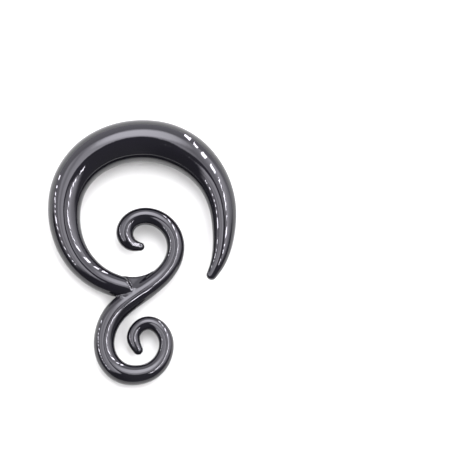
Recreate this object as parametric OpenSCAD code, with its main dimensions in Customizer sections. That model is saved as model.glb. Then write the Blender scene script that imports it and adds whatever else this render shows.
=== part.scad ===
// Ear hanger taper: a crescent hook drawn from one glass rod, with a double scroll
// melted across its end. The rods are swept in one flat plane, and the piece is then
// laid down as it rests on a table. Millimetres: +X is to the right with the hook's
// thick bend towards +Y and the lower coil towards -Y, and +Z is up from the table.

/* [Hook] */
// Diameter of the hook at its thickest place, where the ear lobe sits
gauge_d = 8.4; // [6:0.1:9]
// Diameter of the rounded tip that goes through the ear first
tip_d = 2.1; // [1.2:0.1:2.6]
// Diameter of the hook where it meets the scroll
neck_d = 4.4; // [3.8:0.1:5]
// Radius of the hook's bend, along the middle of its rod
hook_r = 15; // [13:0.5:18]

/* [Scroll] */
// Diameter of the scroll's rod just below the weld, its thickest place
scroll_d = 4.5; // [3.8:0.1:5]

/* [Weld] */
// Thickness of the glass that fills the upper corner of the weld
web_d = 2.8; // [2.2:0.1:3.6]
// Radius of the arc that the filled corner shows inside the hook
web_r = 7.4; // [7:0.1:7.8]

/* [Fineness] */
// Number of flats round the hook
hook_sides = 24; // [16:2:28]
// Number of flats round the scroll's rod
scroll_sides = 18; // [12:2:22]
// Number of rings from each row of a table to the next
ring_steps = 4; // [3:1:5]

/* [Hidden] */

// The hook from its tip over the thick bend to its neck, about the middle of the ring.
// Its rod swells from the tip's or the neck's diameter (0) to the gauge (1).
hook_rows = [
    // angle, swing outside the bend radius, swell
    [-42, 4.55, 0],
    [-33, 3.95, 0.15],
    [-20, 2.9, 0.33],
    [0, 1.85, 0.52],
    [20, 1.05, 0.67],
    [40, 0.3, 0.85],
    [60, -0.35, 0.98],
    [80, -0.85, 1],
    [100, -1.05, 1],
    [120, -0.85, 0.96],
    [140, -0.5, 0.85],
    [160, -0.2, 0.69],
    [180, -0.05, 0.55],
    [200, 0.2, 0.4],
    [220, 0.65, 0.26],
    [240, 0.9, 0.1],
    [257, 0.9, 0],
];
// The thick bend's middle, where the rows pass from the tip's side to the neck's side
bend_top_angle = 90;

// The weld's place, to which the scroll is drawn
weld_angle = 260;
weld_swing = 0.95;

// The upper coil from its tip down to the weld, about the weld's place
upper_coil = [
    // right, up, share of the scroll's diameter
    [3.05, 8.3, 0.38],
    [1.2, 8.8, 0.61],
    [-0.05, 10.6, 0.76],
    [0.5, 12.8, 0.78],
    [2.45, 14.2, 0.78],
    [4.95, 14.4, 0.78],
    [7.45, 13.35, 0.78],
    [9.4, 11.2, 0.78],
    [10.15, 8.25, 0.78],
    [9.4, 5.1, 0.79],
    [7.4, 2.35, 0.84],
    [4.5, 0, 0.91],
];

// The lower coil from the weld round to its tip, about the weld's place
lower_coil = [
    // right, up, share of the scroll's diameter
    [1.4, -2.2, 0.94],
    [-1.55, -4.55, 0.99],
    [-3.5, -7.7, 0.96],
    [-4.15, -11.3, 0.92],
    [-3.25, -14.6, 0.94],
    [-0.9, -16.95, 0.94],
    [2.15, -17.5, 0.89],
    [5.15, -16.75, 0.82],
    [7.25, -14.75, 0.75],
    [8.25, -12.1, 0.67],
    [7.85, -9.3, 0.66],
    [5.9, -7.3, 0.63],
    [3.65, -7.25, 0.61],
    [2.05, -8.7, 0.58],
    [1.7, -10.5, 0.58],
    [2.65, -12.45, 0.44],
];

// The row of the lower coil that touches the table, and the hook's thickest row
foot_row = 5;
thick_row = 8;

// Steps of latitude on each rounded rod end
cap_angles = [22.5, 45, 67.5];

// The middle of the filled corner's arc, about the weld's place, the angles between
// which the glass fills it, and the number of beads of glass that fill it
web_middle = [1.55, 9.65];
web_from = -100;
web_to = -54;
web_beads = 8;
bead_sides = 16;

function hook_d(angle, swell) =
    let (end_d = angle < bend_top_angle ? tip_d : neck_d)
    end_d + (gauge_d - end_d) * swell;

function hook_place(row) =
    let (r = hook_r + row[1])
    [r * cos(row[0]), r * sin(row[0]), hook_d(row[0], row[2])];

function scroll_place(row) = [weld[0] + row[0], weld[1] + row[1], scroll_d * row[2]];

// A list with one more row at each end, in line with the last two
function padded(rows) =
    let (last = len(rows) - 1)
    concat([2 * rows[0] - rows[1]], rows, [2 * rows[last] - rows[last - 1]]);

// The rows that lead a smooth curve through the given rows
function leads(rows) =
    let (p = padded(rows))
    padded([for (i = [1:len(rows)]) p[i] - (p[i - 1] - 2 * p[i] + p[i + 1]) / 6]);

// A place on the curve, with t = 0 at the first row, 1 at the second and so on
function curve_at(lead, t) =
    let (i = min(floor(t), len(lead) - 4), u = t - i, v = 1 - u)
    (pow(v, 3) * lead[i]
        + (3 * pow(u, 3) - 6 * u * u + 4) * lead[i + 1]
        + (3 * pow(v, 3) - 6 * v * v + 4) * lead[i + 2]
        + pow(u, 3) * lead[i + 3]) / 6;

// The curve's direction in the plane at t, one unit long
function heading_at(lead, t) =
    let (i = min(floor(t), len(lead) - 4), u = t - i, v = 1 - u)
    let (d = -v * v * lead[i] + (3 * u * u - 4 * u) * lead[i + 1]
        + (4 * v - 3 * v * v) * lead[i + 2] + u * u * lead[i + 3])
    [d[0], d[1]] / norm([d[0], d[1]]);

// One ring of points round a rod: its middle in the plane, its radius and its heading
function ring(middle, r, heading, sides) = [
    for (j = [0:sides - 1])
        let (a = 360 * j / sides, out = r * cos(a))
        [middle[0] - out * heading[1], middle[1] + out * heading[0], r * sin(a)]
];

// The rings of a rounded end, from the rod's last ring outwards; way is 1 or -1
function cap_rings(place, heading, sides, way) = [
    for (a = cap_angles)
        let (r = place[2] / 2, along = way * r * sin(a))
        ring([place[0], place[1]] + along * heading, r * cos(a), heading, sides)
];

function pole(place, heading, way) = [
    place[0] + way * place[2] / 2 * heading[0],
    place[1] + way * place[2] / 2 * heading[1],
    0
];

function reversed(list) = [for (i = [len(list) - 1:-1:0]) list[i]];

// All rings of a rod along a table's places, with its two rounded ends
function rod_rings(places, sides) =
    let (lead = leads(places), spans = len(places) - 1)
    let (start = curve_at(lead, 0), end = curve_at(lead, spans))
    concat(
        reversed(cap_rings(start, heading_at(lead, 0), sides, -1)),
        [for (k = [0:spans * ring_steps])
            let (p = curve_at(lead, k / ring_steps))
            ring([p[0], p[1]], p[2] / 2, heading_at(lead, k / ring_steps), sides)],
        cap_rings(end, heading_at(lead, spans), sides, 1)
    );

// The two end points of a rod
function rod_poles(places) =
    let (lead = leads(places), spans = len(places) - 1)
    [
        pole(curve_at(lead, 0), heading_at(lead, 0), -1),
        pole(curve_at(lead, spans), heading_at(lead, spans), 1)
    ];

hook_places = [for (row = hook_rows) hook_place(row)];
weld = hook_place([weld_angle, weld_swing, 0]);
scroll_places = [for (row = concat(upper_coil, lower_coil)) scroll_place(row)];

// The tilt that brings the thick bend and the lower coil down on the same table
foot = scroll_place(lower_coil[foot_row]);
thick_bend_y = hook_r + hook_rows[thick_row][1];
rest_tilt = asin((gauge_d - foot[2]) / 2 / (thick_bend_y - foot[1]));

// The piece's points after that tilt, which give its size and its place
function tilted(p) = [
    p[0],
    p[1] * cos(rest_tilt) - p[2] * sin(rest_tilt),
    p[1] * sin(rest_tilt) + p[2] * cos(rest_tilt)
];

function flat_list(rings) = [for (r = rings) for (p = r) p];

all_points = [
    for (p = concat(
        flat_list(rod_rings(hook_places, hook_sides)),
        flat_list(rod_rings(scroll_places, scroll_sides)),
        rod_poles(hook_places),
        rod_poles(scroll_places)
    )) tilted(p)
];

function lowest(axis) = min([for (p = all_points) p[axis]]);
function highest(axis) = max([for (p = all_points) p[axis]]);

rest_shift = [
    -(lowest(0) + highest(0)) / 2,
    -(lowest(1) + highest(1)) / 2,
    -lowest(2)
];

// A closed round rod along a table's places
module rod(places, sides) {
    rings = rod_rings(places, sides);
    count = len(rings);
    last = count * sides;
    polyhedron(
        points = concat(flat_list(rings), rod_poles(places)),
        faces = concat(
            [for (i = [0:count - 2], j = [0:sides - 1])
                let (k = (j + 1) % sides)
                [i * sides + j, (i + 1) * sides + j, (i + 1) * sides + k, i * sides + k]],
            [for (j = [0:sides - 1]) [last, j, (j + 1) % sides]],
            [for (j = [0:sides - 1])
                [last + 1, (count - 1) * sides + (j + 1) % sides, (count - 1) * sides + j]]
        ),
        convexity = 10
    );
}

module hook() {
    rod(hook_places, hook_sides);
}

module scroll() {
    rod(scroll_places, scroll_sides);
}

module web_bead(angle) {
    r = web_r + web_d / 2;
    right = weld[0] + web_middle[0] + r * cos(angle);
    up = weld[1] + web_middle[1] + r * sin(angle);
    translate([right, up, 0])
        sphere(d = web_d, $fn = bead_sides);
}

// The melted glass that rounds off the corner between the hook and the upper coil
module weld_web() {
    step = (web_to - web_from) / web_beads;
    for (i = [0:web_beads - 1])
        hull() {
            web_bead(web_from + i * step);
            web_bead(web_from + (i + 1) * step);
        }
}

module ear_hanger() {
    color("#1b1a1f")
        translate(rest_shift)
            rotate([rest_tilt, 0, 0])
                union() {
                    hook();
                    scroll();
                    weld_web();
                }
}

ear_hanger();
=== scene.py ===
"""Ear hanger taper in black glass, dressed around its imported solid.

The visible piece is one skin of glass, made by Geometry Nodes from the middle lines of
the piece's rods: the hook, the double scroll and the glass that fills the weld.
"""
import math

import bpy
import numpy as np
from bpy.props import FloatProperty, FloatVectorProperty, IntProperty, PointerProperty
from mathutils import Matrix, Vector


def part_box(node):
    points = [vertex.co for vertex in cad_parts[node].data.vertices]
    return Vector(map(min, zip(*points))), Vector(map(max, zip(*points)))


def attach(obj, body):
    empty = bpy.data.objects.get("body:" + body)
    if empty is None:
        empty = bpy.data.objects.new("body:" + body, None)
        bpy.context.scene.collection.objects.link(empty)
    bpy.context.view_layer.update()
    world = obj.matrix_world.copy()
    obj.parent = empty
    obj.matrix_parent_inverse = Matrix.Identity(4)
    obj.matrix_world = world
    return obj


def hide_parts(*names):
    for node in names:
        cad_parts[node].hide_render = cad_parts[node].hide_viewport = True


bl_info = {
    "name": "Ear hanger taper",
    "version": (1, 0, 0),
    "blender": (4, 5, 0),
    "location": "3D View > Sidebar > Ear Hanger",
    "description": "A crescent ear hanger of black glass with a double scroll, on a plain stage",
    "category": "Object",
}

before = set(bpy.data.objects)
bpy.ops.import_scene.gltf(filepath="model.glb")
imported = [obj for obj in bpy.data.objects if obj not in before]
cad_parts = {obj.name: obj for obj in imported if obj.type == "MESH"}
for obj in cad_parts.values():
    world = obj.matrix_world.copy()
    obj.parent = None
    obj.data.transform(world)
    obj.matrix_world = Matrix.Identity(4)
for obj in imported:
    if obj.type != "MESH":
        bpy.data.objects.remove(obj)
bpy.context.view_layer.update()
MM = 0.001

# The hook from its tip over the thick bend to its neck: angle about the ring's middle,
# how far its rod swings outside the bend radius (mm), and its swell from the thin end's
# diameter (0) to the thick bend's (1).
HOOK_ROWS = (
    (-42, 4.55, 0), (-33, 3.95, 0.15), (-20, 2.9, 0.33), (0, 1.85, 0.52), (20, 1.05, 0.67),
    (40, 0.3, 0.85), (60, -0.35, 0.98), (80, -0.85, 1), (100, -1.05, 1), (120, -0.85, 0.96),
    (140, -0.5, 0.85), (160, -0.2, 0.69), (180, -0.05, 0.55), (200, 0.2, 0.4),
    (220, 0.65, 0.26), (240, 0.9, 0.1), (257, 0.9, 0),
)
# The thick bend's middle, where the rows pass from the tip's side to the neck's side, and
# the thickest row
BEND_TOP_ANGLE = 90
THICK_ROW = 8

# The weld's place, to which the scroll is drawn: angle and swing as above
WELD_AT = (260, 0.95)

# The double scroll from the upper coil's tip to the lower coil's: right and up of the
# weld's place (mm), and its share of the scroll rod's diameter.
SCROLL_ROWS = (
    (3.05, 8.3, 0.38), (1.2, 8.8, 0.61), (-0.05, 10.6, 0.76), (0.5, 12.8, 0.78),
    (2.45, 14.2, 0.78), (4.95, 14.4, 0.78), (7.45, 13.35, 0.78), (9.4, 11.2, 0.78),
    (10.15, 8.25, 0.78), (9.4, 5.1, 0.79), (7.4, 2.35, 0.84), (4.5, 0, 0.91),
    (1.4, -2.2, 0.94), (-1.55, -4.55, 0.99), (-3.5, -7.7, 0.96), (-4.15, -11.3, 0.92),
    (-3.25, -14.6, 0.94), (-0.9, -16.95, 0.94), (2.15, -17.5, 0.89), (5.15, -16.75, 0.82),
    (7.25, -14.75, 0.75), (8.25, -12.1, 0.67), (7.85, -9.3, 0.66), (5.9, -7.3, 0.63),
    (3.65, -7.25, 0.61), (2.05, -8.7, 0.58), (1.7, -10.5, 0.58), (2.65, -12.45, 0.44),
)
# The row of the lower coil that touches the table
FOOT_ROW = 17

# The glass that fills the upper corner of the weld: the middle of its arc about the weld's
# place, how far it reaches round a place right and up of the ring's middle, and half its
# greatest thickness (mm)
WEB_MIDDLE = (1.55, 9.65)
WEB_PLACE = (0.1, -14.2, 0)
WEB_REACH = 3.3
WEB_TOP = 1.7
# How softly its flat faces turn into its arc, and then into its outer limit (mm)
WEB_ARC_ROUNDING = 0.5
WEB_LIMIT_ROUNDING = 0.8

# Where the hook's rod would run on to inside the scroll: right, up of the ring's middle,
# diameter (mm)
HOOK_END = (0.2, -16.2, 4.1)
# The face that cuts it blunt there: a place on it, its direction, how far round that place
# it cuts, and how softly its edge is rounded (mm)
BLUNT_PLACE = (-1.5, -15.5, 0)
BLUNT_WAY = (0.89, 0.45, 0)
BLUNT_REACH = 4.0
BLUNT_ROUNDING = 0.9

# Runs of glass squeezed out along the weld's seam, on both faces: where each starts and
# ends, right and up of the ring's middle, its height off the middle plane, its radius (mm)
WELD_RUNS = (
    (-3.1, -17.5, -1.15, -16.25, 0.95, 1.05), (-4.0, -17.25, -3.8, -17.15, 0.9, 0.35),
    (-2.75, -16.75, -2.45, -16.6, 1.55, 0.32), (-1.15, -16.15, -0.95, -16.05, 1.45, 0.3),
)
# How wide they melt into the glass round them (mm)
RUN_BLEND = 0.3

# The rods' numbers in the mesh of their middle lines, and how far apart its points are (mm)
ROD_HOOK, ROD_SCROLL, ROD_RUNS = range(3)
POINTS_APART = 0.05

# The skin's mesh: the size of its cells and the room round the middle lines (mm), how often
# its points are laid on the glass once they are evened out, and the fewest faces it may have
CELL = 0.21
MARGIN = 5.0
LAST_ROUNDS = 2
FEWEST_FACES = 1000

# The sizes that both trees of the skin take, by the names of their sockets, and all that
# they have in common (name, socket kind, default)
SKIN_SIZES = (
    ("Web Radius", "web_r"), ("Web Edge", "web_edge"),
    ("Weld Blend", "weld_blend"), ("Web Blend", "web_blend"),
    ("Wave Height", "wave_height"), ("Wave Length", "wave_length"),
)
SHAPE_INPUTS = [
    ("Lines", "NodeSocketGeometry", None), ("Web Middle", "NodeSocketVector", None),
    ("Web Slope", "NodeSocketFloat", 0.5),
] + [(label, "NodeSocketFloat", 1.0) for label, _ in SKIN_SIZES]


def linear(code):
    """The linear colour of an sRGB hex value such as #0f0e14."""
    parts = [int(code[i:i + 2], 16) / 255 for i in (1, 3, 5)]
    return [p / 12.92 if p <= 0.04045 else ((p + 0.055) / 1.055) ** 2.4 for p in parts]


def add_node(tree, kind, inputs=None, **settings):
    """Add a node with its settings; an input is a value, a socket, or a node's first output."""
    node = tree.nodes.new(kind)
    for name, value in settings.items():
        setattr(node, name, value)
    for key, value in (inputs or {}).items():
        if isinstance(value, bpy.types.Node):
            value = value.outputs[0]
        if isinstance(value, bpy.types.NodeSocket):
            tree.links.new(value, node.inputs[key])
        else:
            node.inputs[key].default_value = value
    return node


def new_geometry_tree(name, inputs, outputs):
    """A Geometry Nodes tree with named inputs (name, socket kind, default) and outputs."""
    tree = bpy.data.node_groups.new(name, "GeometryNodeTree")
    for label, kind, default in inputs:
        socket = tree.interface.new_socket(label, in_out="INPUT", socket_type=kind)
        if default is not None:
            socket.default_value = default
    for label, kind in outputs:
        tree.interface.new_socket(label, in_out="OUTPUT", socket_type=kind)
    return tree, tree.nodes.new("NodeGroupInput"), tree.nodes.new("NodeGroupOutput")


class HangerSizes(bpy.types.PropertyGroup):
    """Sizes of the hanger's rods, weld and waves, and of the skin's mesh"""
    gauge_d: FloatProperty(
        name="Gauge", description="Diameter of the hook at its thick bend",
        default=8.4 * MM, unit="LENGTH")
    tip_d: FloatProperty(
        name="Tip", description="Diameter of the hook's rounded tip",
        default=2.1 * MM, unit="LENGTH")
    neck_d: FloatProperty(
        name="Neck", description="Diameter of the hook where it meets the scroll",
        default=4.4 * MM, unit="LENGTH")
    hook_r: FloatProperty(
        name="Bend Radius", description="Radius of the hook's bend along the middle of its rod",
        default=15 * MM, unit="LENGTH")
    scroll_d: FloatProperty(
        name="Scroll Rod", description="Greatest diameter of the scroll's rod",
        default=4.5 * MM, unit="LENGTH")
    web_r: FloatProperty(
        name="Web Radius", description="Radius of the arc that the filled corner shows",
        default=7.42 * MM, unit="LENGTH")
    web_edge: FloatProperty(
        name="Web Edge", description="Half the thickness of the filled corner at that arc",
        default=0.5 * MM, unit="LENGTH")
    web_slope: FloatProperty(
        name="Web Slope", description="How steeply the filled corner thickens from there",
        default=0.48, min=0, max=2)
    weld_blend: FloatProperty(
        name="Weld Blend", description="How wide the rods melt into each other",
        default=0.25 * MM, unit="LENGTH")
    web_blend: FloatProperty(
        name="Web Blend", description="How wide the filled corner melts into the rods",
        default=0.5 * MM, unit="LENGTH")
    wave_height: FloatProperty(
        name="Wave Height", description="Height of the slow waves that hand drawing leaves",
        default=0.06 * MM, unit="LENGTH")
    wave_length: FloatProperty(
        name="Wave Length", description="Length of those waves",
        default=7 * MM, unit="LENGTH")
    cell: FloatProperty(
        name="Cell", description="Size of the mesh's cells",
        default=CELL * MM, unit="LENGTH")
    smooth_rounds: IntProperty(
        name="Smoothing Rounds", description="How often the mesh's cells are evened out",
        default=4, min=1, max=12)


class GlassLook(bpy.types.PropertyGroup):
    """Colours and finish of the black glass"""
    glass_color: FloatVectorProperty(
        name="Glass", description="Colour that the black glass shows in its depth",
        default=linear("#040406"), subtype="COLOR", size=3, min=0, max=1)
    glass_tint: FloatVectorProperty(
        name="Glass Tint", description="Colour of its faint lighter streaks",
        default=linear("#07060c"), subtype="COLOR", size=3, min=0, max=1)
    roughness: FloatProperty(
        name="Roughness", description="Roughness of the fire polish",
        default=0.015, min=0, max=1)
    ior: FloatProperty(
        name="IOR", description="Index of refraction of the glass",
        default=1.5, min=1, max=2)
    ripple_height: FloatProperty(
        name="Ripple Height", description="Height of the faint ripples under the polish",
        default=0.01 * MM, unit="LENGTH")


class StageLook(bpy.types.PropertyGroup):
    """Floor, light and camera"""
    floor_color: FloatVectorProperty(
        name="Floor", description="Colour of the floor card",
        default=linear("#c2c3bc"), subtype="COLOR", size=3, min=0, max=1)
    light_color: FloatVectorProperty(
        name="Light", description="Colour of the studio light",
        default=(1.02, 1.0, 1.1), subtype="COLOR", size=3, min=0, max=2)
    camera_elevation: FloatProperty(
        name="Camera Elevation", description="Angle of the camera's view above the floor",
        default=math.radians(80), subtype="ANGLE")
    camera_distance: FloatProperty(
        name="Camera Distance", description="Distance from the camera to the piece",
        default=1.2, unit="LENGTH")
    view_width: FloatProperty(
        name="View Width", description="Width of what the camera sees at the piece",
        default=94 * MM, unit="LENGTH")
    box_level: FloatProperty(
        name="Light Box", description="Share of the light box panels' brightness", default=1.0)
    wall_level: FloatProperty(
        name="Back Wall", description="Greatest brightness of the back wall", default=1.9)
    glow_level: FloatProperty(
        name="Glow", description="Extra brightness of the hot spot at the back", default=4.4)
    strip_level: FloatProperty(
        name="Strips", description="Share of the two lamp strips' brightness", default=1.0)
    front_level: FloatProperty(
        name="Front", description="Brightness of the open front", default=0.38)


def padded(rows):
    """The rows with one more at each end, in line with the last two."""
    return np.vstack([2 * rows[0] - rows[1], rows, 2 * rows[-1] - rows[-2]])


def along_rows(rows):
    """Points along the smooth curve that the solid has through a table's rows."""
    wide = padded(np.array(rows, float))
    lead = padded(wide[1:-1] - (wide[:-2] - 2 * wide[1:-1] + wide[2:]) / 6)
    spans = len(rows) - 1
    longest = np.linalg.norm(np.diff(np.array(rows, float)[:, :2], axis=0), axis=1).max()
    steps = math.ceil(longest / POINTS_APART)
    t = np.linspace(0, spans, spans * steps + 1)
    i = np.minimum(t.astype(int), spans - 1)
    u = (t - i)[:, None]
    v = 1 - u
    return (v ** 3 * lead[i] + (3 * u ** 3 - 6 * u * u + 4) * lead[i + 1]
            + (3 * v ** 3 - 6 * v * v + 4) * lead[i + 2] + u ** 3 * lead[i + 3]) / 6


def hook_line(sizes):
    """Right, up and diameter along the hook, in mm about the ring's middle, and its rows."""
    gauge, tip, neck, r = (
        size / MM for size in (sizes.gauge_d, sizes.tip_d, sizes.neck_d, sizes.hook_r))
    rows = []
    for angle, swing, swell in HOOK_ROWS:
        a = math.radians(angle)
        end = tip if angle < BEND_TOP_ANGLE else neck
        rows.append(((r + swing) * math.cos(a), (r + swing) * math.sin(a),
                     end + (gauge - end) * swell))
    return along_rows(rows + [HOOK_END]), rows


def weld_place(sizes):
    """The weld's place, right and up of the ring's middle (mm)."""
    a = math.radians(WELD_AT[0])
    r = sizes.hook_r / MM + WELD_AT[1]
    return r * math.cos(a), r * math.sin(a)


def scroll_line(sizes):
    """The same along the scroll, and its rows."""
    right, up = weld_place(sizes)
    rows = [(right + x, up + y, share * sizes.scroll_d / MM) for x, y, share in SCROLL_ROWS]
    return along_rows(rows), rows


def weld_runs():
    """The runs of glass along the weld: rod number, height and middle line of each."""
    return [(ROD_RUNS, height, np.array([(x0, y0, 2 * r), (x1, y1, 2 * r)]))
            for x0, y0, x1, y1, height, r in WELD_RUNS]


def rod_mesh(lines):
    """One mesh of the rods' middle lines, with each point's rod, radius and radius slope."""
    places, edges, rods, radii, slopes = [], [], [], [], []
    for rod, height, line in lines:
        first = len(places)
        steps = np.diff(line, axis=0)
        lengths = np.linalg.norm(steps[:, :2], axis=1)
        slope = (steps[:, 2] / 2 / lengths ** 2)[:, None] * steps[:, :2]
        slope = np.vstack([slope[:1], (slope[1:] + slope[:-1]) / 2, slope[-1:]])
        places += [(x, y, height) for x, y, _ in line]
        edges += [(first + i, first + i + 1) for i in range(len(line) - 1)]
        rods += [rod] * len(line)
        radii += list(line[:, 2] / 2)
        slopes += [(x, y, 0) for x, y in slope]
    mesh = bpy.data.meshes.new("rod_lines")
    mesh.from_pydata(places, edges, [])
    for name, kind, field, values in (("rod", "INT", "value", rods),
                                      ("rod_radius", "FLOAT", "value", radii),
                                      ("radius_slope", "FLOAT_VECTOR", "vector", slopes)):
        data = mesh.attributes.new(name, kind, "POINT").data
        data.foreach_set(field, np.array(values).ravel())
    return mesh


def rod_distance_tree():
    """Distance from a place to the skin of one rod, below 0 inside it."""
    tree, given, result = new_geometry_tree(
        "Rod Distance",
        [("Lines", "NodeSocketGeometry", None), ("Rod", "NodeSocketInt", 0),
         ("Place", "NodeSocketVector", None)],
        [("Distance", "NodeSocketFloat")])
    rod = add_node(tree, "GeometryNodeInputNamedAttribute", {"Name": "rod"}, data_type="INT")
    same = add_node(tree, "FunctionNodeCompare",
                    {2: rod.outputs["Attribute"], 3: given.outputs["Rod"]},
                    data_type="INT", operation="EQUAL")
    line = add_node(tree, "GeometryNodeSeparateGeometry",
                    {"Geometry": given.outputs["Lines"], "Selection": same}, domain="POINT")
    near = add_node(tree, "GeometryNodeProximity",
                    {"Geometry": line, "Sample Position": given.outputs["Place"]},
                    target_element="EDGES")
    index = add_node(tree, "GeometryNodeSampleNearest",
                     {"Geometry": line, "Sample Position": near.outputs["Position"]},
                     domain="POINT")
    radius = add_node(tree, "GeometryNodeInputNamedAttribute", {"Name": "rod_radius"},
                      data_type="FLOAT")
    slope = add_node(tree, "GeometryNodeInputNamedAttribute", {"Name": "radius_slope"},
                     data_type="FLOAT_VECTOR")
    there = add_node(tree, "GeometryNodeInputPosition")
    own_radius, own_slope, own_place = (
        add_node(tree, "GeometryNodeSampleIndex",
                 {"Geometry": line, "Value": field, "Index": index},
                 data_type=kind, domain="POINT")
        for field, kind in ((radius, "FLOAT"), (slope, "FLOAT_VECTOR"),
                            (there, "FLOAT_VECTOR")))
    # The radius at the nearest point of the mesh, changed by its slope from there
    offset = add_node(tree, "ShaderNodeVectorMath",
                      {0: near.outputs["Position"], 1: own_place}, operation="SUBTRACT")
    change = add_node(tree, "ShaderNodeVectorMath", {0: offset, 1: own_slope},
                      operation="DOT_PRODUCT")
    here = add_node(tree, "ShaderNodeMath", {0: own_radius, 1: change.outputs["Value"]},
                    operation="ADD")
    gap = add_node(tree, "ShaderNodeMath", {0: near.outputs["Distance"], 1: here},
                   operation="SUBTRACT")
    tree.links.new(gap.outputs[0], result.inputs["Distance"])
    return tree


def glass_distance_tree():
    """Distance from a place to the skin of the whole piece, with its weld and its waves."""
    rod_distance = rod_distance_tree()
    tree, given, result = new_geometry_tree(
        "Glass Distance", SHAPE_INPUTS, [("Distance", "NodeSocketFloat")])
    place = add_node(tree, "GeometryNodeInputPosition")
    # Both faces are alike, so the height off the middle plane is taken without its sign.
    x, y, z = add_node(tree, "ShaderNodeSeparateXYZ", {0: place}).outputs
    height = add_node(tree, "ShaderNodeMath", {0: z}, operation="ABSOLUTE")
    folded = add_node(tree, "ShaderNodeCombineXYZ", {0: x, 1: y, 2: height})
    hook, scroll, runs = (
        add_node(tree, "GeometryNodeGroup",
                 {"Lines": given.outputs["Lines"], "Rod": rod, "Place": folded},
                 node_tree=rod_distance)
        for rod in (ROD_HOOK, ROD_SCROLL, ROD_RUNS))
    from_end = add_node(tree, "ShaderNodeVectorMath", {0: folded, 1: BLUNT_PLACE},
                        operation="SUBTRACT")
    past_end = add_node(tree, "ShaderNodeVectorMath", {0: from_end, 1: BLUNT_WAY},
                        operation="DOT_PRODUCT")
    # The face only cuts near the weld
    away = add_node(tree, "ShaderNodeVectorMath", {0: from_end}, operation="LENGTH")
    near_weld = add_node(tree, "ShaderNodeMath", {0: BLUNT_REACH, 1: away.outputs["Value"]},
                         operation="SUBTRACT")
    cut = add_node(tree, "ShaderNodeMath", {0: past_end.outputs["Value"], 1: near_weld},
                   operation="MINIMUM")
    blunt = add_node(tree, "ShaderNodeMath", {0: hook, 1: cut, 2: BLUNT_ROUNDING},
                     operation="SMOOTH_MAX")
    rods = add_node(tree, "ShaderNodeMath",
                    {0: blunt, 1: scroll, 2: given.outputs["Weld Blend"]},
                    operation="SMOOTH_MIN")

    # The filled corner starts thin at its arc and slopes up to the rods.
    flat = add_node(tree, "ShaderNodeCombineXYZ", {0: x, 1: y})
    from_middle = add_node(tree, "ShaderNodeVectorMath",
                           {0: flat, 1: given.outputs["Web Middle"]}, operation="DISTANCE")
    to_arc = add_node(tree, "ShaderNodeMath",
                      {0: given.outputs["Web Radius"], 1: from_middle.outputs["Value"]},
                      operation="SUBTRACT")
    slope = given.outputs["Web Slope"]
    over = add_node(tree, "ShaderNodeMath", {0: to_arc, 1: slope, 2: height},
                    operation="MULTIPLY_ADD")
    over = add_node(tree, "ShaderNodeMath", {0: over, 1: given.outputs["Web Edge"]},
                    operation="SUBTRACT")
    thick = add_node(tree, "ShaderNodeMath", {0: height, 1: WEB_TOP}, operation="SUBTRACT")
    over = add_node(tree, "ShaderNodeMath", {0: over, 1: thick}, operation="MAXIMUM")
    web = add_node(tree, "ShaderNodeMath", {0: to_arc, 1: over, 2: WEB_ARC_ROUNDING},
                   operation="SMOOTH_MAX")
    outside = add_node(tree, "ShaderNodeVectorMath", {0: flat, 1: WEB_PLACE},
                       operation="DISTANCE")
    outside = add_node(tree, "ShaderNodeMath", {0: outside.outputs["Value"], 1: WEB_REACH},
                       operation="SUBTRACT")
    web = add_node(tree, "ShaderNodeMath", {0: web, 1: outside, 2: WEB_LIMIT_ROUNDING},
                   operation="SMOOTH_MAX")
    webbed = add_node(tree, "ShaderNodeMath",
                      {0: rods, 1: web, 2: given.outputs["Web Blend"]}, operation="SMOOTH_MIN")
    melted = add_node(tree, "ShaderNodeMath", {0: webbed, 1: runs, 2: RUN_BLEND},
                      operation="SMOOTH_MIN")

    # Slow waves all over the skin
    pitch = add_node(tree, "ShaderNodeMath", {0: 1.0, 1: given.outputs["Wave Length"]},
                     operation="DIVIDE")
    noise = add_node(tree, "ShaderNodeTexNoise",
                     {"Vector": place, "Scale": pitch, "Detail": 1.0, "Roughness": 0.4})
    wave = add_node(tree, "ShaderNodeMath", {0: noise.outputs[0], 1: 0.5}, operation="SUBTRACT")
    waved = add_node(tree, "ShaderNodeMath",
                     {0: wave, 1: given.outputs["Wave Height"], 2: melted},
                     operation="MULTIPLY_ADD")
    tree.links.new(waved.outputs[0], result.inputs["Distance"])
    return tree


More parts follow.
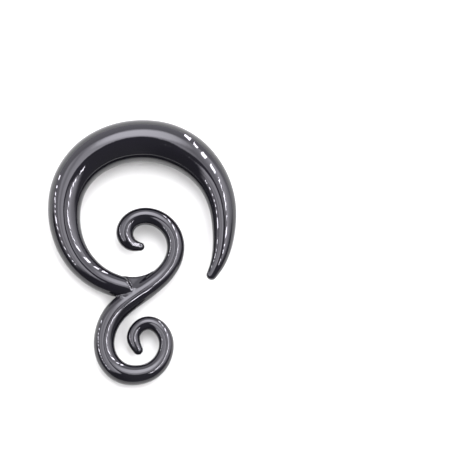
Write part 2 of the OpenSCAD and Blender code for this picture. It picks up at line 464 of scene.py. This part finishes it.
def glass_skin_tree():
    """The piece's skin: cells where the distance is 0, evened out and laid on it exactly."""
    glass_distance = glass_distance_tree()
    tree, given, result = new_geometry_tree(
        "Glass Skin",
        SHAPE_INPUTS + [
            ("Cell", "NodeSocketFloat", CELL), ("Margin", "NodeSocketFloat", MARGIN),
            ("Smoothing Rounds", "NodeSocketInt", 4), ("Material", "NodeSocketMaterial", None)],
        [("Skin", "NodeSocketGeometry")])
    shape = {label: given.outputs[label] for label, _, _ in SHAPE_INPUTS}

    box = add_node(tree, "GeometryNodeBoundBox", {"Geometry": given.outputs["Lines"]})
    low = add_node(tree, "ShaderNodeVectorMath",
                   {0: box.outputs["Min"], 1: given.outputs["Margin"]}, operation="SUBTRACT")
    high = add_node(tree, "ShaderNodeVectorMath",
                    {0: box.outputs["Max"], 1: given.outputs["Margin"]}, operation="ADD")
    span = add_node(tree, "ShaderNodeVectorMath", {0: high, 1: low}, operation="SUBTRACT")
    cells = add_node(tree, "ShaderNodeVectorMath", {0: span, 1: given.outputs["Cell"]},
                     operation="DIVIDE")
    counts = add_node(tree, "ShaderNodeSeparateXYZ", {0: cells})
    distance = add_node(tree, "GeometryNodeGroup", shape, node_tree=glass_distance)
    density = add_node(tree, "ShaderNodeMath", {0: distance, 1: -1.0}, operation="MULTIPLY")
    volume = add_node(tree, "GeometryNodeVolumeCube",
                      {"Density": density, "Background": -1.0, "Min": low, "Max": high,
                       **{f"Resolution {letter}": count
                          for letter, count in zip("XYZ", counts.outputs)}})
    rough = add_node(tree, "GeometryNodeVolumeToMesh",
                     {"Volume": volume, "Threshold": 0.0, "Adaptivity": 0.0},
                     resolution_mode="GRID")

    # Each point goes back along its normal by its distance from the glass
    normal = add_node(tree, "GeometryNodeInputNormal")
    back = add_node(tree, "ShaderNodeVectorMath", {0: normal, "Scale": density},
                    operation="SCALE")
    start = add_node(tree, "GeometryNodeRepeatInput",
                     {"Iterations": given.outputs["Smoothing Rounds"]})
    end = add_node(tree, "GeometryNodeRepeatOutput")
    start.pair_with_output(end)
    tree.links.new(rough.outputs[0], start.inputs["Geometry"])
    place = add_node(tree, "GeometryNodeInputPosition")
    evened = add_node(tree, "GeometryNodeBlurAttribute", {"Value": place, "Iterations": 1},
                      data_type="FLOAT_VECTOR")
    moved = add_node(tree, "GeometryNodeSetPosition",
                     {"Geometry": start.outputs["Geometry"], "Position": evened})
    laid = add_node(tree, "GeometryNodeSetPosition", {"Geometry": moved, "Offset": back})
    tree.links.new(laid.outputs[0], end.inputs["Geometry"])

    skin = end.outputs["Geometry"]
    for _ in range(LAST_ROUNDS):
        skin = add_node(tree, "GeometryNodeSetPosition",
                        {"Geometry": skin, "Offset": back}).outputs[0]
    metres = add_node(tree, "GeometryNodeTransform",
                      {"Geometry": skin, "Scale": (MM, MM, MM)})
    smooth = add_node(tree, "GeometryNodeSetShadeSmooth", {"Geometry": metres})
    real = add_node(tree, "GeometryNodeRealizeInstances", {"Geometry": smooth})
    finished = add_node(tree, "GeometryNodeSetMaterial",
                        {"Geometry": real, "Material": given.outputs["Material"]})
    tree.links.new(finished.outputs[0], result.inputs["Skin"])
    return tree


def set_inputs(modifier, values):
    """Set a modifier's inputs by name, through each socket's identifier."""
    for item in modifier.node_group.interface.items_tree:
        if item.item_type == "SOCKET" and item.in_out == "INPUT" and item.name in values:
            modifier[item.identifier] = values[item.name]


def plain_mesh(piece):
    """The piece's evaluated mesh in place of its modifiers."""
    evaluated = piece.evaluated_get(bpy.context.evaluated_depsgraph_get())
    mesh = bpy.data.meshes.new_from_object(evaluated)
    old = piece.data
    piece.modifiers.clear()
    piece.data = mesh
    bpy.data.meshes.remove(old)
    return mesh


def rest_turn(hook_rows, scroll_rows):
    """The turn that brings the thick bend and the lower coil down on the same table."""
    thick, foot = hook_rows[THICK_ROW], scroll_rows[FOOT_ROW]
    bend_y = math.hypot(thick[0], thick[1])
    tilt = math.asin((thick[2] - foot[2]) / 2 / (bend_y - foot[1]))
    return Matrix.Rotation(tilt, 4, "X")


# Lengths of the glass's streaks of pigment, of the patches of film that handling leaves and
# of the ripples under the polish, and how much rougher than the polish the film is
STREAK_LENGTH = 4 * MM
FILM_LENGTH = 3 * MM
RIPPLE_LENGTH = 1.5 * MM
FILM_ROUGHNESS = 0.03


def lampworked_glass(look):
    """Black borosilicate glass rod, drawn and bent in a torch flame and left fire polished.

    To the eye it is near black with a cold, faintly violet depth, and a mirror-like skin
    whose reflections swim a little where the rod was pulled by hand. Such glass has an IOR
    of about 1.47; this one is matched to how brightly the piece mirrors the light.
    """
    material = bpy.data.materials.new("black_lampworked_glass")
    material.use_nodes = True
    tree = material.node_tree
    shader = tree.nodes["Principled BSDF"]
    shader.inputs["IOR"].default_value = look.ior
    object_place = add_node(tree, "ShaderNodeTexCoord").outputs["Object"]

    streaks = add_node(tree, "ShaderNodeTexNoise",
                       {"Vector": object_place, "Scale": 1 / STREAK_LENGTH, "Detail": 3.0,
                        "Roughness": 0.6, "Distortion": 0.8})
    depth = add_node(tree, "ShaderNodeMix",
                     {0: streaks.outputs[0], 6: (*look.glass_color, 1),
                      7: (*look.glass_tint, 1)}, data_type="RGBA")
    tree.links.new(depth.outputs[2], shader.inputs["Base Color"])

    film = add_node(tree, "ShaderNodeTexNoise",
                    {"Vector": object_place, "Scale": 1 / FILM_LENGTH, "Detail": 4.0})
    polish = add_node(tree, "ShaderNodeMapRange",
                      {"Value": film.outputs[0], "From Min": 0.45, "From Max": 0.75,
                       "To Min": look.roughness, "To Max": look.roughness + FILM_ROUGHNESS})
    tree.links.new(polish.outputs[0], shader.inputs["Roughness"])

    ripples = add_node(tree, "ShaderNodeTexNoise",
                       {"Vector": object_place, "Scale": 1 / RIPPLE_LENGTH, "Detail": 2.0})
    bump = add_node(tree, "ShaderNodeBump",
                    {"Height": ripples.outputs[0], "Strength": 1.0,
                     "Distance": look.ripple_height})
    tree.links.new(bump.outputs[0], shader.inputs["Normal"])
    return material


class OBJECT_OT_hanger_glass(bpy.types.Operator):
    """Make the ear hanger's skin of black glass in place of its plain solid"""
    bl_idname = "object.hanger_glass"
    bl_label = "Glass Hanger"

    def execute(self, context):
        sizes = context.scene.hanger_sizes
        hook, hook_rows = hook_line(sizes)
        scroll, scroll_rows = scroll_line(sizes)
        lines = [(ROD_HOOK, 0, hook), (ROD_SCROLL, 0, scroll)] + weld_runs()

        piece = bpy.data.objects.new("glass_hanger", rod_mesh(lines))
        context.scene.collection.objects.link(piece)
        skin = piece.modifiers.new("Glass Skin", "NODES")
        skin.node_group = glass_skin_tree()
        values = {label: getattr(sizes, name) / MM for label, name in SKIN_SIZES}
        right, up = weld_place(sizes)
        values.update({"Cell": sizes.cell / MM, "Smoothing Rounds": sizes.smooth_rounds,
                       "Web Middle": (right + WEB_MIDDLE[0], up + WEB_MIDDLE[1], 0),
                       "Web Slope": sizes.web_slope,
                       "Material": lampworked_glass(context.scene.glass_look)})
        set_inputs(skin, values)
        mesh = plain_mesh(piece)
        if len(mesh.polygons) < FEWEST_FACES:
            raise RuntimeError("the glass skin came out empty")

        # Laid down as the solid rests, with its box over the solid's
        turn = rest_turn(hook_rows, scroll_rows)
        mesh.transform(turn)
        points = np.empty(len(mesh.vertices) * 3)
        mesh.vertices.foreach_get("co", points)
        points = points.reshape(-1, 3)
        low, high = points.min(0), points.max(0)
        cad_low, cad_high = (np.array(corner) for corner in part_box("ear_hanger"))
        shift = (cad_low + cad_high - low - high) / 2
        shift[2] = cad_low[2] - low[2]
        mesh.transform(Matrix.Translation(shift))
        context.scene["ring_middle"] = list(shift)

        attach(piece, "root")
        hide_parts("ear_hanger")
        return {"FINISHED"}


def direction(azimuth, elevation):
    """The direction at an azimuth from +X towards +Y and an elevation above the floor."""
    a, e = math.radians(azimuth), math.radians(elevation)
    return Vector((math.cos(a) * math.cos(e), math.sin(a) * math.cos(e), math.sin(e)))


# The light box is a half tube whose long axis runs from the back down through the floor.
# Round that axis, from the left over the top to the right, its panels shine unevenly:
# angle in degrees, level.
BOX_AXIS = (0.086, 0.846, -0.527)
BOX_LEVELS = (
    (-115, 1.5), (-90, 1.9), (-79, 3.2), (-62, 2.3), (-55, 2.3), (-46, 5.0), (-33, 3.1),
    (-24, 5.0), (-6, 5.6), (2, 4.8), (15, 2.4), (22, 3.0), (40, 6.0), (56, 3.7), (76, 2.1),
    (84, 1.0), (92, 0.45), (110, 0.4),
)
# How far round the axis the panels' ramp goes to either side (degrees), and its full level
BOX_REACH = 120
BOX_TOP = 6.5
# Its dimmer back wall fills what lies further back (y) than this times its height (z), and
# comes forward on the left by this share of how far left it is; its soft edge's half width
WALL_SLOPE = 1.15
WALL_FORWARD = 0.25
WALL_EDGE = 0.12
# The hot spot at the back: azimuth and elevation, and how far from there it has faded out
# and where it starts to fade, in degrees
GLOW_AT = (87, 55)
GLOW_FADES = (25, 13)
# The box's two strips of small lamps lie along its axis, at either side: side (-1 is the
# left), angle round the axis, half width, level, and where each lamp begins and ends, as
# bearings from that side towards the back or, below 0, the front; all angles in degrees
LAMP_STRIPS = (
    (-1, -71, 2.8, 27, (
        (-33.3, -32), (-30.7, -28.4), (-25, -21.5), (-17.6, -15.8), (-13.2, -11.4), (-9.8, -7.5),
        (-4.9, -3.2), (-1.5, 0.1), (1.4, 2.8), (4.6, 5.7), (7.4, 9.6), (10.8, 12.8),
        (14.5, 15.7), (18.3, 20.5), (25, 27))),
    (1, 31.5, 3.8, 30, (
        (-32.5, -25), (-17.5, -13), (-10, -7), (-1, 3.2), (9.6, 12.2), (17.8, 20), (22, 24.3),
        (27.2, 28.6), (30.2, 31.2), (33.8, 38), (42.6, 47), (51, 55.6), (57.8, 63.5))),
)
# The bearings turn about a line that leans this far to the front, and a lamp's chance
# place and width hold for this many degrees of them
LAMP_LEAN = 10
LAMP_PLACES_APART = 4.3
# Shares of a strip's half width: how far a lamp is moved aside at most, and the least and
# the most half width of a lamp; and the shares of its own between which its edge fades
LAMP_ASIDE = 0.35
LAMP_HALVES = (0.6, 1.3)
LAMP_EDGE = (0.7, 1.2)
# The box's dark front opening: how far back it reaches (y) from the left to the right (x)
FRONT_EDGE = (
    (-1, 0.1), (-0.86, -0.32), (-0.68, -0.56), (-0.5, -0.5), (-0.15, -0.34), (-0.05, -0.18),
    (0.05, -0.05), (0.13, -0.06), (0.25, -0.2), (0.5, -0.39), (0.72, -0.38), (0.86, -0.28),
    (1, 0),
)
# Half the width of its soft edge in the middle, and how much that grows out to the side
FRONT_EDGE_HALF = 0.05
FRONT_EDGE_GROWS = 0.08
# Its share of brightness on the left, and where it rises to its full one (x)
FRONT_LEFT_SHARE = 0.65
FRONT_RISE = (-0.3, 0.1)
# The camera above it shows as a narrow dark wedge: its middle (x), how much it narrows
# towards the back, and between which half widths and distances back (y) it fades
CAMERA_MIDDLE = -0.02
CAMERA_TAPER = 0.25
CAMERA_HALF = (0.045, 0.11)
CAMERA_BACK = (0.14, 0.24)


def studio_light(look):
    """Soft light as a white light box gives it, by its direction alone.

    It has panels of uneven brightness round a tube, a dimmer back wall, a hot spot at the
    back, the open dark front with the dark camera above it, and a strip of small lamps at
    either side.
    """
    world = bpy.data.worlds.new("studio_light")
    world.use_nodes = True
    tree = world.node_tree
    tree.nodes.clear()
    way = add_node(tree, "ShaderNodeTexCoord").outputs["Generated"]
    x, y, z = add_node(tree, "ShaderNodeSeparateXYZ", {0: way}).outputs

    axis = Vector(BOX_AXIS).normalized()
    top = (Vector((0, 0, 1)) - axis * axis.z).normalized()
    rightward, upward, along = (
        add_node(tree, "ShaderNodeVectorMath", {0: way, 1: side},
                 operation="DOT_PRODUCT").outputs["Value"]
        for side in (axis.cross(top), top, axis))
    round_it = add_node(tree, "ShaderNodeMath", {0: rightward, 1: upward}, operation="ARCTAN2")
    from_axis = add_node(tree, "ShaderNodeMath", {0: along}, operation="ARCCOSINE")
    reach = math.radians(BOX_REACH)
    share = add_node(tree, "ShaderNodeMapRange",
                     {"Value": round_it, "From Min": -reach, "From Max": reach})
    panels = add_node(tree, "ShaderNodeValToRGB", {0: share})
    ramps = [(panels, [((angle / BOX_REACH + 1) / 2, shine / BOX_TOP)
                       for angle, shine in BOX_LEVELS])]
    ceiling = add_node(tree, "ShaderNodeMath", {0: panels, 1: BOX_TOP * look.box_level},
                       operation="MULTIPLY")

    # The back wall shines no brighter than its own level
    wall = add_node(tree, "ShaderNodeMath", {0: ceiling, 1: look.wall_level},
                    operation="MINIMUM")
    behind = add_node(tree, "ShaderNodeMath", {0: z, 1: -WALL_SLOPE, 2: y},
                      operation="MULTIPLY_ADD")
    left = add_node(tree, "ShaderNodeMath", {0: x, 1: 0.0}, operation="MINIMUM")
    behind = add_node(tree, "ShaderNodeMath", {0: left, 1: -WALL_FORWARD, 2: behind},
                      operation="MULTIPLY_ADD")
    is_wall = add_node(tree, "ShaderNodeMapRange",
                       {"Value": behind, "From Min": -WALL_EDGE, "From Max": WALL_EDGE},
                       interpolation_type="SMOOTHSTEP")
    level = add_node(tree, "ShaderNodeMix", {0: is_wall, 2: ceiling, 3: wall})
    dark, full = (math.cos(math.radians(angle)) for angle in GLOW_FADES)
    to_glow = add_node(tree, "ShaderNodeVectorMath", {0: way, 1: direction(*GLOW_AT)},
                       operation="DOT_PRODUCT")
    glow = add_node(tree, "ShaderNodeMapRange",
                    {"Value": to_glow.outputs["Value"], "From Min": dark, "From Max": full,
                     "To Min": 0.0, "To Max": look.glow_level},
                    interpolation_type="SMOOTHSTEP")
    level = add_node(tree, "ShaderNodeMath", {0: level, 1: glow}, operation="ADD")

    # The ramp holds places from -1 to 1 as shares from 0 to 1
    across = add_node(tree, "ShaderNodeMapRange",
                      {"Value": x, "From Min": -1, "From Max": 1})
    edge = add_node(tree, "ShaderNodeValToRGB", {0: across})
    ramps.append((edge, [((right + 1) / 2, (back + 1) / 2) for right, back in FRONT_EDGE]))
    edge_y = add_node(tree, "ShaderNodeMath", {0: edge, 1: 2.0, 2: -1.0},
                      operation="MULTIPLY_ADD")
    inside = add_node(tree, "ShaderNodeMath", {0: edge_y, 1: y}, operation="SUBTRACT")
    sideways = add_node(tree, "ShaderNodeMath", {0: x}, operation="ABSOLUTE")
    softness = add_node(tree, "ShaderNodeMath",
                        {0: sideways, 1: FRONT_EDGE_GROWS, 2: FRONT_EDGE_HALF},
                        operation="MULTIPLY_ADD")
    inside = add_node(tree, "ShaderNodeMath", {0: inside, 1: softness}, operation="DIVIDE")
    front = add_node(tree, "ShaderNodeMapRange",
                     {"Value": inside, "From Min": -1, "From Max": 1},
                     interpolation_type="SMOOTHSTEP")
    aside = add_node(tree, "ShaderNodeMath", {0: x, 1: CAMERA_MIDDLE}, operation="SUBTRACT")
    aside = add_node(tree, "ShaderNodeMath", {0: aside}, operation="ABSOLUTE")
    past = add_node(tree, "ShaderNodeMath", {0: y, 1: 0.0}, operation="MAXIMUM")
    wedge = add_node(tree, "ShaderNodeMath", {0: past, 1: CAMERA_TAPER, 2: aside},
                     operation="MULTIPLY_ADD")
    narrow, ahead = (
        add_node(tree, "ShaderNodeMapRange",
                 {"Value": where, "From Min": starts, "From Max": ends, "To Min": 1.0,
                  "To Max": 0.0}, interpolation_type="SMOOTHSTEP")
        for where, (starts, ends) in ((wedge, CAMERA_HALF), (y, CAMERA_BACK)))
    camera = add_node(tree, "ShaderNodeMath", {0: narrow, 1: ahead}, operation="MULTIPLY")
    front = add_node(tree, "ShaderNodeMath", {0: front, 1: camera}, operation="MAXIMUM")
    dim = add_node(tree, "ShaderNodeMapRange",
                   {"Value": x, "From Min": FRONT_RISE[0], "From Max": FRONT_RISE[1],
                    "To Min": look.front_level * FRONT_LEFT_SHARE,
                    "To Max": look.front_level}, interpolation_type="SMOOTHSTEP")
    level = add_node(tree, "ShaderNodeMix", {0: front, 2: level, 3: dim})

    # The lamps: lit where their strip's bearings say, each a little aside of its line
    turn = add_node(tree, "ShaderNodeMath", {0: from_axis}, operation="SINE")
    backward = add_node(tree, "ShaderNodeVectorMath",
                        {0: way, 1: direction(90, LAMP_LEAN)},
                        operation="DOT_PRODUCT").outputs["Value"]
    for side, angle, half, strength, lamps in LAMP_STRIPS:
        outward = add_node(tree, "ShaderNodeMath", {0: x, 1: side}, operation="MULTIPLY")
        bearing = add_node(tree, "ShaderNodeMath", {0: backward, 1: outward},
                           operation="ARCTAN2")
        along_strip = add_node(tree, "ShaderNodeMapRange",
                               {"Value": bearing, "From Min": -math.pi, "From Max": math.pi})
        places = add_node(tree, "ShaderNodeMath",
                          {0: bearing, 1: 1 / math.radians(LAMP_PLACES_APART)},
                          operation="MULTIPLY")
        number = add_node(tree, "ShaderNodeMath", {0: places}, operation="FLOOR")
        lit = add_node(tree, "ShaderNodeValToRGB", {0: along_strip})
        lit.color_ramp.interpolation = "CONSTANT"
        switches = [(-180, 0)]
        for first, last in lamps:
            switches += [(first, 1), (last, 0)]
        ramps.append((lit, [((place / 180 + 1) / 2, on) for place, on in switches]))
        seed = add_node(tree, "ShaderNodeMath", {0: number, 1: angle}, operation="ADD")
        own = add_node(tree, "ShaderNodeTexWhiteNoise", {"W": seed}, noise_dimensions="1D")
        aside, wide, _ = add_node(tree, "ShaderNodeSeparateXYZ",
                                  {0: own.outputs["Color"]}).outputs
        own_angle = add_node(tree, "ShaderNodeMapRange",
                             {"Value": aside,
                              "To Min": math.radians(angle - half * LAMP_ASIDE),
                              "To Max": math.radians(angle + half * LAMP_ASIDE)})
        apart = add_node(tree, "ShaderNodeMath", {0: round_it, 1: own_angle},
                         operation="SUBTRACT")
        apart = add_node(tree, "ShaderNodeMath", {0: apart}, operation="ABSOLUTE")
        apart = add_node(tree, "ShaderNodeMath", {0: apart, 1: turn}, operation="MULTIPLY")
        own_half = add_node(tree, "ShaderNodeMapRange",
                            {"Value": wide, "To Min": math.radians(half * LAMP_HALVES[0]),
                             "To Max": math.radians(half * LAMP_HALVES[1])})
        apart = add_node(tree, "ShaderNodeMath", {0: apart, 1: own_half}, operation="DIVIDE")
        width = add_node(tree, "ShaderNodeMapRange",
                         {"Value": apart, "From Min": LAMP_EDGE[0],
                          "From Max": LAMP_EDGE[1], "To Min": 1.0, "To Max": 0.0},
                         interpolation_type="SMOOTHSTEP")
        strip = add_node(tree, "ShaderNodeMath", {0: width, 1: lit}, operation="MULTIPLY")
        level = add_node(tree, "ShaderNodeMath",
                         {0: strip, 1: strength * look.strip_level, 2: level.outputs[0]},
                         operation="MULTIPLY_ADD")

    for ramp, stops in ramps:
        elements = ramp.color_ramp.elements
        while len(elements) < len(stops):
            elements.new(1.0)
        for element, (position, shade) in zip(elements, stops):
            element.position = position
            element.color = (*[shade] * 3, 1)

    light = add_node(tree, "ShaderNodeBackground",
                     {"Color": (*look.light_color, 1), "Strength": level})
    # Past the floor's edge the camera sees a plain white room
    room = add_node(tree, "ShaderNodeBackground", {"Color": (1, 1, 1, 1), "Strength": 1.0})
    path = add_node(tree, "ShaderNodeLightPath")
    seen = add_node(tree, "ShaderNodeMixShader",
                    {0: path.outputs["Is Camera Ray"], 1: light, 2: room})
    add_node(tree, "ShaderNodeOutputWorld", {"Surface": seen})
    return world


# Width of the card's paper grain, and how much paler than its colour the grain gets
GRAIN_WIDTH = 0.6 * MM
GRAIN_PALER = 1.02


def white_card(look):
    """Matt white coated card: an even pale sheet whose grain only just shows."""
    material = bpy.data.materials.new("matt_white_card")
    material.use_nodes = True
    tree = material.node_tree
    shader = tree.nodes["Principled BSDF"]
    shader.inputs["Roughness"].default_value = 0.7
    shader.inputs["Specular IOR Level"].default_value = 0.2
    place = add_node(tree, "ShaderNodeTexCoord").outputs["Object"]
    grain = add_node(tree, "ShaderNodeTexNoise",
                     {"Vector": place, "Scale": 1 / GRAIN_WIDTH, "Detail": 2.0})
    paler = [min(1.0, part * GRAIN_PALER) for part in look.floor_color]
    colour = add_node(tree, "ShaderNodeMix",
                      {0: grain.outputs[0], 6: (*look.floor_color, 1), 7: (*paler, 1)},
                      data_type="RGBA")
    tree.links.new(colour.outputs[2], shader.inputs["Base Color"])
    return material


# Half the floor's width (m), and where the camera looks in its picture: right of and below
# the ring's middle (mm)
FLOOR_HALF = 3.0
AIM_RIGHT = 19.2
AIM_BELOW = 5.0


class SCENE_OT_hanger_stage(bpy.types.Operator):
    """Lay the pale floor, set the studio light and place the camera"""
    bl_idname = "scene.hanger_stage"
    bl_label = "Stage"

    def execute(self, context):
        scene = context.scene
        look = scene.stage_look
        mesh = bpy.data.meshes.new("floor")
        corners = [(right * FLOOR_HALF, back * FLOOR_HALF, 0)
                   for right, back in ((-1, -1), (1, -1), (1, 1), (-1, 1))]
        mesh.from_pydata(corners, [], [(0, 1, 2, 3)])
        mesh.materials.append(white_card(look))
        floor = bpy.data.objects.new("floor", mesh)
        scene.collection.objects.link(floor)

        scene.world = studio_light(look)
        scene.view_settings.view_transform = "Standard"

        up = look.camera_elevation
        ahead = Vector((0, math.cos(up), -math.sin(up)))
        image_up = Vector((0, math.sin(up), math.cos(up)))
        aim = (Vector(scene["ring_middle"]) + Vector((1, 0, 0)) * AIM_RIGHT * MM
               - image_up * AIM_BELOW * MM)
        data = bpy.data.cameras.new("camera")
        data.sensor_width = 36.0
        data.lens = data.sensor_width * look.camera_distance / look.view_width
        data.clip_start = 0.01
        data.clip_end = 20.0
        camera = bpy.data.objects.new("camera", data)
        camera.location = aim - ahead * look.camera_distance
        camera.rotation_euler = ahead.to_track_quat("-Z", "Y").to_euler()
        scene.collection.objects.link(camera)
        bpy.context.scene.camera = camera
        return {"FINISHED"}


class VIEW3D_PT_ear_hanger(bpy.types.Panel):
    """The hanger's and the stage's operators, each with its settings"""
    bl_label = "Ear Hanger"
    bl_idname = "VIEW3D_PT_ear_hanger"
    bl_space_type = "VIEW_3D"
    bl_region_type = "UI"
    bl_category = "Ear Hanger"

    def draw(self, context):
        for operator, groups in (("object.hanger_glass", ("hanger_sizes", "glass_look")),
                                 ("scene.hanger_stage", ("stage_look",))):
            self.layout.operator(operator)
            for group in groups:
                values = getattr(context.scene, group)
                for name in values.__annotations__:
                    self.layout.prop(values, name)


CLASSES = (HangerSizes, GlassLook, StageLook, OBJECT_OT_hanger_glass, SCENE_OT_hanger_stage,
           VIEW3D_PT_ear_hanger)


def register():
    for item in CLASSES:
        bpy.utils.register_class(item)
    bpy.types.Scene.hanger_sizes = PointerProperty(type=HangerSizes)
    bpy.types.Scene.glass_look = PointerProperty(type=GlassLook)
    bpy.types.Scene.stage_look = PointerProperty(type=StageLook)


def unregister():
    del bpy.types.Scene.stage_look
    del bpy.types.Scene.glass_look
    del bpy.types.Scene.hanger_sizes
    for item in reversed(CLASSES):
        bpy.utils.unregister_class(item)


def main():
    """Make the piece and its stage."""
    register()
    bpy.ops.object.hanger_glass()
    bpy.ops.scene.hanger_stage()


if __name__ == "__main__":
    main()
